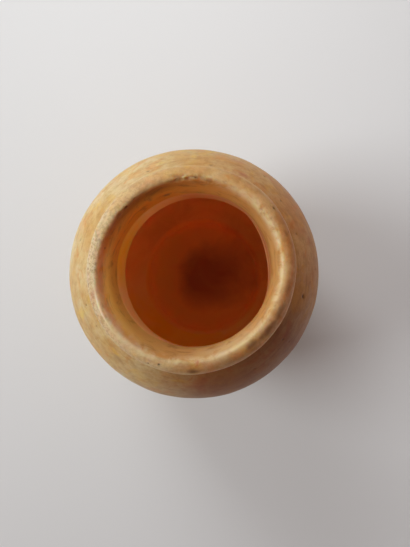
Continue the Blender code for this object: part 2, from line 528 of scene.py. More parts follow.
MARKS: tuple[Mark, ...] = (
    Mark("pit above the far left of the lip", (147.8, 171.4), 0.42 * MM, 0.30 * MM, 0.75, 1.8, 10),
    Mark("pit on the right shoulder", (281.2, 200.3), 0.50 * MM, 0.30 * MM, 0.9),
    Mark("pit on the rim's right edge", (274.0, 208.2), 0.45 * MM, 0.25 * MM, 0.75, 1.5, -40),
    Mark("smudge on the right of the lip", (286.5, 233.0), 0.80 * MM, 0.12 * MM, 0.38, 1.8, -62, Tint.RUST),
    Mark("core of that smudge", (288.6, 231.8), 0.30 * MM, 0.12 * MM, 0.4, 1.5, -60),
    Mark("pit low on the right shoulder", (303.2, 296.6), 0.75 * MM, 0.35 * MM, 0.9, 1.5, -40),
    Mark("first pit at the lower left of the lip", (148.0, 363.5), 0.38 * MM, 0.20 * MM, 0.55, 1.5, 0),
    Mark("second pit at the lower left of the lip", (158.7, 364.6), 0.42 * MM, 0.30 * MM, 0.85),
    Mark("speck on the left of the lip", (84.6, 269.0), 0.28 * MM, 0.12 * MM, 0.45),
    Mark("brown smudge on the near lip", (192.6, 371.6), 1.3 * MM, 0.10 * MM, 0.8, 1.7, 6, Tint.RUST),
    Mark("dark core of the brown smudge", (193.2, 372.0), 0.75 * MM, 0.12 * MM, 0.35, 1.6, 4),
    Mark("red vein on the near lip", (197.6, 362.0), 0.55 * MM, 0.06 * MM, 0.75, 3.0, 78, Tint.ROSE),
    Mark("brown stain low on the right lip", (269.0, 329.5), 1.6 * MM, 0.05 * MM, 0.9, 2.2, 52, Tint.RUST),
    Mark("stain beside it", (253.5, 343.6), 1.4 * MM, 0.05 * MM, 0.8, 1.8, 38, Tint.RUST),
    Mark("fainter stain above them", (281.0, 311.0), 1.3 * MM, 0.03 * MM, 0.6, 2.4, 66, Tint.RUST),
    Mark("faint stain up the right lip", (288.0, 288.0), 1.1 * MM, 0.03 * MM, 0.45, 2.6, 78, Tint.RUST),
    Mark("small stain on the near lip", (262.0, 337.5), 0.8 * MM, 0.05 * MM, 0.7, 1.5, 20, Tint.RUST),
    Mark("rose patch on the far shoulder", (243.5, 174.8), 1.3 * MM, 0.0, 0.75, 2.2, -30, Tint.ROSE),
    Mark("paler rose patch above it", (238.0, 161.5), 1.6 * MM, 0.0, 0.45, 2.0, -24, Tint.ROSE),
    Mark("rose bloom on the near left of the lip", (92.8, 296.0), 1.3 * MM, 0.0, 0.35, 2.4, 78, Tint.ROSE),
    Mark("rusty spot on the near left body", (118.0, 358.0), 1.6 * MM, 0.0, 0.4, 1.8, -42, Tint.RUST),
    Mark("crack inside the far edge", (178.0, 180.5), 0.60 * MM, 0.20 * MM, 0.4, 5.5, 6, Tint.RUST),
    Mark("pit in that crack", (195.4, 177.4), 0.60 * MM, 0.35 * MM, 0.75, 1.4, -20, Tint.RUST),
    Mark("core of that pit", (195.2, 177.6), 0.30 * MM, 0.15 * MM, 0.5),
    Mark("second pit in that crack", (186.0, 179.0), 0.50 * MM, 0.25 * MM, 0.5, 1.6, 0, Tint.RUST),
    Mark("chip beside the crack", (209.0, 180.6), 0.80 * MM, 0.20 * MM, 0.35, 1.9, -10, Tint.RUST),
    Mark("nick at the far left of the inner edge", (126.4, 207.8), 0.50 * MM, 0.35 * MM, 0.6, 1.7, 50),
    Mark("stain beside that nick", (120.5, 214.0), 0.9 * MM, 0.20 * MM, 0.4, 2.0, 52, Tint.RUST),
    Mark("scar above the throat", (167.0, 195.0), 0.60 * MM, 0.15 * MM, 0.7, 2.4, 14, Tint.RUST),
    Mark("speck on the left flare", (106.5, 248.5), 0.40 * MM, 0.12 * MM, 0.4),
)


@dataclass(frozen=True)
class Chipping:
    """A stretch of the mouth's inner edge that is broken and ragged."""

    heading: float
    spread: float
    depth: float
    reach: float
    grains: float = 520.0


CHIPPED_EDGE: tuple[Chipping, ...] = (
    Chipping(heading=90, spread=22, depth=0.7 * MM, reach=1.5 * MM, grains=430),
    Chipping(heading=66, spread=14, depth=0.4 * MM, reach=1.6 * MM),
    Chipping(heading=130, spread=24, depth=0.40 * MM, reach=1.3 * MM),
    Chipping(heading=205, spread=25, depth=0.20 * MM, reach=0.9 * MM),
    Chipping(heading=30, spread=34, depth=0.30 * MM, reach=1.8 * MM, grains=900),
)


class Skin:
    """The fine mesh's points, normals and layers as arrays."""

    def __init__(self, mesh: bpy.types.Mesh, landmarks: dict[Landmark, float]) -> None:
        """Reads the mesh.

        Args:
            mesh: The fine mesh, whose ALONG layer is set.
            landmarks: How far along the section each landmark lies.
        """
        self.mesh = mesh
        self.landmarks = landmarks
        count = len(mesh.vertices)
        points, normals = np.zeros(count * 3), np.zeros(count * 3)
        mesh.vertices.foreach_get("co", points)
        mesh.vertices.foreach_get("normal", normals)
        self.points, self.normals = points.reshape(-1, 3), normals.reshape(-1, 3)
        along = np.zeros(count, np.float32)
        mesh.attributes[Layer.ALONG.value].data.foreach_get("value", along)
        self.along = along.astype(float)
        self.heading = np.degrees(np.arctan2(self.points[:, 1], self.points[:, 0]))

    def facing(self, heading: float, spread: float) -> np.ndarray:
        """Share of 1 at a heading, in degrees, easing off to 0 a spread away on both sides."""
        away = np.abs((self.heading - heading + 180) % 360 - 180)
        return 1 - smooth_step(away, 0, spread)

    def past(self, landmark: Landmark) -> np.ndarray:
        """Distance of each point past a landmark along the section."""
        return self.along - self.landmarks[landmark]

    def band(self, band: Band) -> np.ndarray:
        """Height of a soft band at each point, 1 at its centre."""
        return bump(self.past(band.past), band.centre, band.reach)

    def patch(self, patch: Patch) -> np.ndarray:
        """Strength or height of a soft patch at each point."""
        return patch.strength * self.band(patch.band) * self.facing(*patch.side)

    def cloud(self, where: np.ndarray, grains: float, offset: float = 0.0) -> np.ndarray:
        """Cloudy noise from about -1 to 1 at some of the points.

        Args:
            where: The points' numbers.
            grains: How many grains lie along a metre.
            offset: Shift that makes one cloud unlike another.

        Returns:
            One value for each of them.
        """
        dimension, gap, octaves = 1.0, 2.1, 3
        places = self.points[where] * grains + offset
        return np.array([noise.fractal(Vector(place), dimension, gap, octaves) for place in places])

    def move(self, push: np.ndarray) -> None:
        """Moves the points along their normals.

        Args:
            push: How far each point moves outwards.
        """
        moved = self.points + self.normals * push[:, None]
        self.mesh.vertices.foreach_set("co", moved.ravel())
        self.mesh.update()

    def write(self, layer: Layer | Tint, values: np.ndarray) -> None:
        """Stores a layer on the mesh for the material."""
        attribute = self.mesh.attributes.new(layer.value, "FLOAT", "POINT")
        attribute.data.foreach_set("value", values.astype(np.float32))


@dataclass(frozen=True)
class WeatheringAndPaintedLight:
    """Where time, hands and tools changed the stone's colour and surface, where shade, highlights and glow
    are painted, and by how much.
    """

    rough_side: Side = Side(184, 102)
    least_rough: float = 0.12
    rough_keys: tuple[tuple[Landmark, float, float], ...] = (
        (Landmark.SHOULDER, -11 * MM, 0.0),
        (Landmark.SHOULDER, -4 * MM, 0.9),
        (Landmark.EDGE, 0.0, 0.95),
        (Landmark.CREST, 0.0, 1.0),
        (Landmark.CREST, 2.6 * MM, 0.0),
    )
    # Painted highlight: a pale line along the lip's outer edge, on the crisp inner edge (which is also
    # raised as a ridge) and on a band of the near left crest.
    edge_line: Band = Band(Landmark.EDGE, 0.0, 0.5 * MM)
    side_without_line: Side = Side(178, 116)
    crisp_edge: Patch = Patch(Side(204, 24), Band(Landmark.CREST, -0.8 * MM, 0.45 * MM))
    pale_crest_highlight: Patch = Patch(Side(226, 34), Band(Landmark.CREST, 0.2 * MM, 0.9 * MM), 0.6)

    # Painted shade: the outside is painted browner and darker on the side away from the lamps, and in the
    # recess under the lip, where the lip shades the shoulder.
    shaded_brown_side: Side = Side(-60, 72)
    side_shade_gain: float = 1.4
    side_shade_fades: tuple[float, float] = (0.0, 1.2 * MM)
    lip_starts: tuple[float, float] = (-1.5 * MM, 0.0)
    side_shade_kept_off_lip: float = 0.6
    recess: Band = Band(Landmark.EDGE, -5.5 * MM, 3.5 * MM)
    recess_sides: tuple[tuple[Side, float], ...] = ((Side(-25, 110), 0.5), (Side(-25, 170), 0.2))
    foot_share: float = 0.4
    foot_fades: tuple[float, float] = (38 * MM, 76 * MM)
    # Painted shade: the side away from the light is painted a warmer, deeper colour.
    warm_shade_side: Side = Side(22, 92)
    warm_shade_kept_off_lip: float = 0.5

    # Worn smooth crest, with painted highlights on its lit stretches and on the lit slope inside it.
    highlight_crest: Band = Band(Landmark.CREST, 0.8 * MM, 1.8 * MM)
    unhighlighted_side: Side = Side(115, 85)
    crest_highlight_gain: float = 0.8
    glinting_sides: tuple[Side, ...] = (Side(232, 50), Side(38, 34))
    glint_gain: float = 0.2
    highlight_slope: Patch = Patch(Side(298, 42), Band(Landmark.CREST, 2.8 * MM, 3.2 * MM), 0.45)
    # Painted shade on the flare under the crest, along the lip's edge and round the throat.
    shaded_flare: Patch = Patch(Side(122, 74), Band(Landmark.CREST, 1.8 * MM, 2.0 * MM))
    shaded_edge: Patch = Patch(Side(170, 70), Band(Landmark.EDGE, -0.2 * MM, 1.3 * MM), 0.35)
    shaded_throat: Band = Band(Landmark.THROAT, 0.5 * MM, 1.6 * MM)
    throat_sides: tuple[tuple[Side, float], ...] = ((Side(8, 80), 1.0), (Side(-80, 50), 0.8))
    # Painted glow: the flare turns from peach to resin orange on the side where light comes through the
    # stone.
    amber_side: Side = Side(138, 112)
    # Olive on the shaded left flare: partly the flare's own olive tone, partly painted light that lifts its
    # shade.
    olive_side: Side = Side(198, 66)
    olive_flare: Band = Band(Landmark.CREST, 2.4 * MM, 2.6 * MM)
    least_olive: float = 0.3

    # Painted glow inside: brighter where light comes through the walls, dimmer away from it, with painted
    # shade in the floor's dark heart.
    lit_bore: Side = Side(165, 110)
    dark_bore: float = 0.12
    lit_wall: Side = Side(250, 135)
    dark_wall: float = 0.40
    wall_gain: float = 0.58
    lit_floor: Side = Side(170, 100)
    dark_floor: float = 0.55
    floor_gain: float = 0.45
    dim_floor: Side = Side(10, 90)
    floor_loss: float = 0.3
    dark_heart: Point2 = (2.8 * MM, 0.5 * MM)
    heart_fades: tuple[float, float] = (5 * MM, 24 * MM)
    bore_ends: tuple[float, float] = (-0.4 * MM, 0.8 * MM)
    floor_starts: tuple[float, float] = (-0.6 * MM, 0.8 * MM)

    swell: tuple[Wave, ...] = (Wave(36, 0.26 * MM, 5.0), Wave(160, 0.05 * MM, 3.1))
    roughness: Wave = Wave(700, 0.05 * MM)
    undercut: Patch = Patch(Side(178, 100), Band(Landmark.CREST, 2.3 * MM, 1.6 * MM), -0.75 * MM)
    worn_crest: Patch = Patch(Side(-10, 115), Band(Landmark.CREST, 0.0, 1.1 * MM), -0.30 * MM)
    crisp_rise: float = 0.20 * MM
    throat_roll: Patch = Patch(Side(10, 50), Band(Landmark.THROAT, 2.8 * MM, 2.6 * MM), 1.7 * MM)
    tool_pitch: float = 2.4 * MM
    tool_depth: float = 0.03 * MM

    def on_lip(self, skin: Skin) -> np.ndarray:
        """Share of 1 on the lip, easing off just below its outer edge."""
        return smooth_step(skin.past(Landmark.EDGE), *self.lip_starts)

    def off_foot(self, skin: Skin) -> np.ndarray:
        """Share of 1 on the upper body, easing off towards the foot, where less shade is painted."""
        return self.foot_share + (1 - self.foot_share) * smooth_step(skin.points[:, 2], *self.foot_fades)

    def wear(self, skin: Skin) -> np.ndarray:
        """How rough and pale the neck and lip are worn.

        Args:
            skin: The fine mesh.

        Returns:
            A share for each point.
        """
        places = [skin.landmarks[landmark] + past for landmark, past, _ in self.rough_keys]
        strengths = [strength for _, _, strength in self.rough_keys]
        side = self.least_rough + (1 - self.least_rough) * skin.facing(*self.rough_side)
        return np.interp(skin.along, places, strengths) * side

    def painted_highlight(self, skin: Skin) -> np.ndarray:
        """Painted highlight: the pale line on the lip's outer edge and on the crest's crisp stretches."""
        line = skin.band(self.edge_line) * (1 - skin.facing(*self.side_without_line))
        return np.maximum.reduce([line, skin.patch(self.crisp_edge), skin.patch(self.pale_crest_highlight)])

    def painted_side_shade(self, skin: Skin) -> np.ndarray:
        """How brown and dark shade is painted on the outside: on the side away from the light and in the
        recess under the lip.

        Args:
            skin: The fine mesh.

        Returns:
            A share for each point.
        """
        outside = 1 - smooth_step(skin.past(Landmark.CREST), *self.side_shade_fades)
        side_shade = np.minimum(1, self.side_shade_gain * skin.facing(*self.shaded_brown_side))
        side_shade *= outside * (1 - self.side_shade_kept_off_lip * self.on_lip(skin))
        recess = sum(share * skin.facing(*side) for side, share in self.recess_sides)
        return np.minimum(1, side_shade + recess * skin.band(self.recess)) * self.off_foot(skin)

    def rubbed_highlight(self, skin: Skin) -> np.ndarray:
        """Where the crest and the slope inside it are worn smooth, and where highlights are painted pale on
        them.

        Args:
            skin: The fine mesh.

        Returns:
            A share for each point.
        """
        glinting = self.crest_highlight_gain + self.glint_gain * sum(skin.facing(*side) for side in self.glinting_sides)
        crest = skin.band(self.highlight_crest) * (1 - skin.facing(*self.unhighlighted_side)) * glinting
        return np.maximum.reduce([crest, skin.patch(self.highlight_slope), skin.patch(self.crisp_edge)])

    def shade(self, skin: Skin) -> np.ndarray:
        """Where shade is painted on the flare, the lip's edge and the throat.

        Args:
            skin: The fine mesh.

        Returns:
            A share for each point.
        """
        sides = sum(share * skin.facing(*side) for side, share in self.throat_sides)
        throat = skin.band(self.shaded_throat) * np.minimum(1, sides)
        return np.maximum.reduce([throat, skin.patch(self.shaded_flare), skin.patch(self.shaded_edge)])

    def glow(self, skin: Skin, on_floor: np.ndarray) -> np.ndarray:
        """How bright a glow is painted inside, brighter towards the light and dimmer away from it, with
        painted shade in the floor's heart.

        Args:
            skin: The fine mesh.
            on_floor: Share of 1 on the dished floor.

        Returns:
            A share for each point.
        """
        bore = self.dark_bore + (1 - self.dark_bore) * skin.facing(*self.lit_bore)
        wall = self.dark_wall + self.wall_gain * skin.facing(*self.lit_wall)
        lit = self.dark_floor + self.floor_gain * skin.facing(*self.lit_floor)
        lit -= self.floor_loss * skin.facing(*self.dim_floor)
        offset = skin.points[:, :2] - self.dark_heart
        floor = smooth_step(np.hypot(offset[:, 0], offset[:, 1]), *self.heart_fades) * lit
        glow = bore + (wall - bore) * smooth_step(skin.past(Landmark.BORE_END), *self.bore_ends)
        return glow + (floor - glow) * on_floor

    def layers(self, skin: Skin) -> dict[Layer, np.ndarray]:
        """Works out every look that the stone takes on by place, painted light and shade among them.

        Args:
            skin: The fine mesh.

        Returns:
            Each layer's values at the points.
        """
        ways_in = (Landmark.CREST, Landmark.THROAT, Landmark.BORE_END)
        depth_keys = [skin.landmarks[landmark] for landmark in ways_in]
        on_floor = smooth_step(skin.past(Landmark.LEDGE), *self.floor_starts)
        olive = self.least_olive + (1 - self.least_olive) * skin.band(self.olive_flare)
        warm_shade = skin.facing(*self.warm_shade_side) * (1 - self.warm_shade_kept_off_lip * self.on_lip(skin))
        return {
            Layer.DEPTH: np.interp(skin.along, depth_keys, (0.0, 0.5, 1.0)),
            Layer.WEAR: self.wear(skin),
            Layer.PAINTED_HIGHLIGHT: self.painted_highlight(skin),
            Layer.PAINTED_SIDE_SHADE: self.painted_side_shade(skin),
            Layer.TAN: warm_shade * self.off_foot(skin),
            Layer.AMBER: skin.facing(*self.amber_side),
            Layer.GLOW: self.glow(skin, on_floor),
            Layer.FLOOR: on_floor,
            Layer.RUBBED_HIGHLIGHT: self.rubbed_highlight(skin),
            Layer.SHADE: self.shade(skin),
            Layer.OLIVE: olive * skin.facing(*self.olive_side),
        }

    def push(self, skin: Skin, wear: np.ndarray) -> np.ndarray:
        """Works out how time and tools moved the surface.

        Args:
            skin: The fine mesh.
            wear: How rough it is worn.

        Returns:
            How far each point moves outwards.
        """
        every = np.arange(len(skin.points))
        push = sum(wave.height * skin.cloud(every, wave.grains, wave.offset) for wave in self.swell)
        rough = np.flatnonzero(wear > LEAST_SEEN)
        push[rough] += self.roughness.height * skin.cloud(rough, self.roughness.grains) * wear[rough]
        for patch in (self.undercut, self.worn_crest, self.throat_roll):
            push += skin.patch(patch)
        push += self.crisp_rise * skin.patch(self.crisp_edge)
        start, end = skin.landmarks[Landmark.THROAT], skin.landmarks[Landmark.BORE_END]
        tool_rings = np.sin(skin.along / self.tool_pitch * math.tau) * self.tool_depth
        return push + tool_rings * smooth_step(skin.along, start, end)


@dataclass
class AlabasterVase:
    """The vase as one piece of stone, from the turned cage to the weathered mesh with its painted light and
    shade.
    """

    section: Section
    viewpoint: Viewpoint
    weathering_and_painted_light: WeatheringAndPaintedLight = WeatheringAndPaintedLight()
    segments: int = 84
    refinements: int = 2
    base_start: float = 0.5 * MM
    base_clearance: float = 2.5 * MM
    pole_clearance: float = 1.0 * MM
    mark_margin: float = 0.6 * MM
    faint_depth: float = 0.1 * MM
    mark_core: float = 0.2
    mark_edge: float = 1.35
    mark_raggedness: float = 0.6
    mark_grain: float = 0.9
    scattered_pits: int = 150
    pit_levels: tuple[float, float] = (0.05, 0.88)
    pit_sizes: tuple[float, float] = (0.25, 0.6)
    pit_stains: tuple[float, float] = (0.1, 0.6)
    pit_stretches: tuple[float, float] = (1.0, 1.8)
    pit_depth_share: float = 0.5
    chip_gain: float = 1.6
    chip_start: float = 0.25
    chip_dirt: float = 0.3
    chip_dirt_fades: tuple[float, float] = (0.35, 0.9)
    chip_offset: float = 11.0
    seed: int = 7

    def turn(self) -> bpy.types.Object:
        """Extrudes a disc ring by ring up the outside, over the lip and down the hollow.

        Returns:
            The coarse closed cage, with the distance along the section as a layer.
        """
        rings = self.section.rings()
        first = rings[0]
        deselect_all()
        bpy.ops.mesh.primitive_circle_add(
            vertices=self.segments, radius=first.radius, fill_type="TRIFAN", location=(0, 0, first.level)
        )
        vase = bpy.context.object
        vase.name = vase.data.name = "alabaster_vase"
        bpy.ops.object.mode_set(mode="EDIT")
        bpy.ops.mesh.select_mode(type="EDGE")
        bpy.ops.mesh.select_all(action="SELECT")
        bpy.ops.mesh.region_to_loop()
        for before, after in zip(rings, rings[1:]):
            move = (after.shift - before.shift).to_3d() + Vector((0, 0, after.level - before.level))
            bpy.ops.mesh.extrude_region_move(TRANSFORM_OT_translate={"value": move})
            ratio = after.radius / before.radius
            centre = (after.shift.x, after.shift.y, after.level)
            bpy.ops.transform.resize(value=(ratio, ratio, 1), center_override=centre)
        bpy.ops.mesh.edge_face_add()
        bpy.ops.mesh.poke()
        bpy.ops.mesh.select_all(action="SELECT")
        bpy.ops.mesh.normals_make_consistent(inside=False)
        bpy.ops.object.mode_set(mode="OBJECT")
        vase.data.transform(vase.matrix_world)
        vase.matrix_world = Matrix.Identity(4)
        self.measure_cage(vase.data, rings)
        return vase

    def measure_cage(self, mesh: bpy.types.Mesh, rings: Sequence[Ring]) -> None:
        """Sets the cage's rings oval and writes how far along the section each ring lies.

        Args:
            mesh: The coarse cage.
            rings: Its rings, in the order in which they were extruded.
        """
        points = np.zeros(len(mesh.vertices) * 3)
        mesh.vertices.foreach_get("co", points)
        points = points.reshape(-1, 3)
        shifts = np.array([ring.shift for ring in rings])
        radii, levels, ovals = (
            np.array([getattr(ring, name) for ring in rings]) for name in ("radius", "level", "oval")
        )
        out = points[:, None, :2] - shifts[None]
        misses = np.abs(np.hypot(out[..., 0], out[..., 1]) - radii) + np.abs(points[:, None, 2] - levels)
        nearest = misses.argmin(1)
        on_ring = misses.min(1) < self.pole_clearance
        rows = np.flatnonzero(on_ring)
        ring = nearest[rows]
        heading = np.arctan2(out[rows, ring, 1], out[rows, ring, 0])
        radius = radii[ring] + ovals[ring] * np.cos(2 * (heading - self.section.oval_heading))
        points[rows, 0] = shifts[ring, 0] + radius * np.cos(heading)
        points[rows, 1] = shifts[ring, 1] + radius * np.sin(heading)
        runs = np.array(self.section.runs())
        along = np.where(points[:, 2] < self.base_clearance, 0.0, runs[-1])
        along[rows] = runs[ring]
        mesh.vertices.foreach_set("co", points.ravel())
        layer = mesh.attributes.new(Layer.ALONG.value, "FLOAT", "POINT")
        layer.data.foreach_set("value", along.astype(np.float32))
        mesh.update()

    def refine(self, vase: bpy.types.Object) -> None:
        """Rounds the cage into the fine mesh.

        Args:
            vase: The cage's object.
        """
        modifier = vase.modifiers.new("fine_surface", "SUBSURF")
        modifier.levels = modifier.render_levels = self.refinements
        bpy.context.view_layer.objects.active = vase
        vase.select_set(True)
        bpy.ops.object.modifier_apply(modifier=modifier.name)

    def scattered_marks(self) -> list[tuple[Vector, Mark]]:
        """Small pits all over the outside, also on the sides that the photograph doesn't show.

        Returns:
            A start point outside the vase for each pit, from which it is sought inwards, and the pit.
        """
        chance = random.Random(self.seed)
        found = []
        for number in range(self.scattered_pits):
            heading = chance.uniform(0, math.tau)
            level = chance.uniform(*self.pit_levels) * self.section.height
            reach = self.section.body_radius * 2
            start = Vector((reach * math.cos(heading), reach * math.sin(heading), level))
            size = chance.uniform(*self.pit_sizes) * MM
            stain, stretch = chance.uniform(*self.pit_stains), chance.uniform(*self.pit_stretches)
            depth = size * self.pit_depth_share
            found.append((start, Mark(f"pit {number}", (0, 0), size, depth, stain, stretch)))
        return found

    def find_marks(self, mesh: bpy.types.Mesh) -> list[tuple[Vector, Mark]]:
        """Finds where each mark meets the stone.

        Args:
            mesh: The fine mesh, before it is weathered.

        Returns:
            Each mark with its place on the surface.
        """
        tree = BVHTree.FromPolygons(
            [tuple(vertex.co) for vertex in mesh.vertices], [tuple(face.vertices) for face in mesh.polygons]
        )
        eye = Vector(self.viewpoint.place)
        rays = [(eye, self.viewpoint.ray(mark.pixel), mark) for mark in MARKS]
        for start, mark in self.scattered_marks():
            rays.append((start, Vector((-start.x, -start.y, 0)).normalized(), mark))
        hits = []
        for start, way, mark in rays:
            hit = tree.ray_cast(start, way)[0]
            if hit is None:
                LOG.warning("%s misses the stone", mark.name)
            else:
                hits.append((hit, mark))
        return hits

    def add_detail(self, vase: bpy.types.Object, hits: Sequence[tuple[Vector, Mark]]) -> None:
        """Divides the faces round each mark, so that small pits have a shape of their own.

        Args:
            vase: The fine mesh's object.
            hits: The marks and their places.
        """
        mesh = vase.data
        centres = np.array([face.center for face in mesh.polygons])
        near = np.zeros(len(centres), bool)
        for hit, mark in hits:
            if mark.depth > self.faint_depth:
                reach = mark.radius * mark.stretch + self.mark_margin
                near |= ((centres - np.array(hit)) ** 2).sum(1) < reach**2
        bpy.ops.object.mode_set(mode="EDIT")
        bpy.ops.mesh.select_mode(type="FACE")
        bpy.ops.mesh.select_all(action="DESELECT")
        bpy.ops.object.mode_set(mode="OBJECT")
        mesh.polygons.foreach_set("select", near)
        bpy.ops.object.mode_set(mode="EDIT")
        bpy.ops.mesh.subdivide(number_cuts=1, ngon=False)
        bpy.ops.object.mode_set(mode="OBJECT")

    def chip(self, skin: Skin) -> tuple[np.ndarray, np.ndarray]:
        """Breaks the mouth's inner edge where it is ragged.

        Args:
            skin: The fine mesh.

        Returns:
            How far each point sinks, and how brown it gets.
        """
        sunk, dirt = np.zeros(len(skin.points)), np.zeros(len(skin.points))
        for chipping in CHIPPED_EDGE:
            edge = Band(Landmark.CREST, 0.0, chipping.reach)
            share = skin.patch(Patch(Side(chipping.heading, chipping.spread), edge))
            where = np.flatnonzero(share > LEAST_SEEN)
            cloud = skin.cloud(where, chipping.grains, self.chip_offset)
            broken = np.clip(cloud * self.chip_gain + self.chip_start, 0, 1) * share[where]
            sunk[where] += broken * chipping.depth
            stained = smooth_step(broken, *self.chip_dirt_fades) * self.chip_dirt
            dirt[where] = np.maximum(dirt[where], stained)
        return sunk, dirt

    def carve_marks(
        self, skin: Skin, hits: Sequence[tuple[Vector, Mark]]
    ) -> tuple[np.ndarray, dict[Tint, np.ndarray]]:
        """Works out how far each mark sinks into the surface and how it colours it.

        Args:
            skin: The fine mesh.
            hits: The marks and their places.

        Returns:
            How far each point sinks, and the strength of each tint.
        """
        sunk = np.zeros(len(skin.points))
        tints = {tint: np.zeros(len(skin.points)) for tint in Tint}
        for hit, mark in hits:
            offset = skin.points - np.array(hit)
            turn = math.radians(mark.heading)
            lengthwise = offset[:, 0] * math.cos(turn) + offset[:, 1] * math.sin(turn)
            apart = np.sqrt((offset**2).sum(1) - lengthwise**2 * (1 - 1 / mark.stretch**2))
            near = np.flatnonzero(apart < mark.radius * 2)
            ragged = skin.cloud(near, self.mark_grain / mark.radius) if len(near) else 0.0
            end = self.mark_edge + self.mark_raggedness * ragged
            share = 1 - smooth_step(apart[near] / mark.radius, self.mark_core, end)
            sunk[near] = np.maximum(sunk[near], mark.depth * share)
            tints[mark.tint][near] = np.maximum(tints[mark.tint][near], mark.stain * share)
        return sunk, tints

    def build(self) -> bpy.types.Object:
        """Turns, refines, weathers and marks the vase.

        Returns:
            The finished piece, undressed.
        """
        vase = self.turn()
        self.refine(vase)
        hits = self.find_marks(vase.data)
        self.add_detail(vase, hits)
        skin = Skin(vase.data, self.section.landmarks())
        layers = self.weathering_and_painted_light.layers(skin)
        push = self.weathering_and_painted_light.push(skin, layers[Layer.WEAR])
        chipped, chip_dirt = self.chip(skin)
        sunk, tints = self.carve_marks(skin, hits)
        tints[Tint.RUST] = np.maximum(tints[Tint.RUST], chip_dirt)
        for layer, values in (layers | tints).items():
            skin.write(layer, values)
        off_base = np.clip((skin.points[:, 2] - self.base_start) / self.base_clearance, 0, 1)
        skin.move((push - chipped - sunk) * off_base)
        bpy.ops.object.shade_smooth()
        triangles = sum(len(face.vertices) - 2 for face in vase.data.polygons)
        LOG.info("%s: %d triangles, %d marks", vase.name, triangles, len(hits))
        return vase


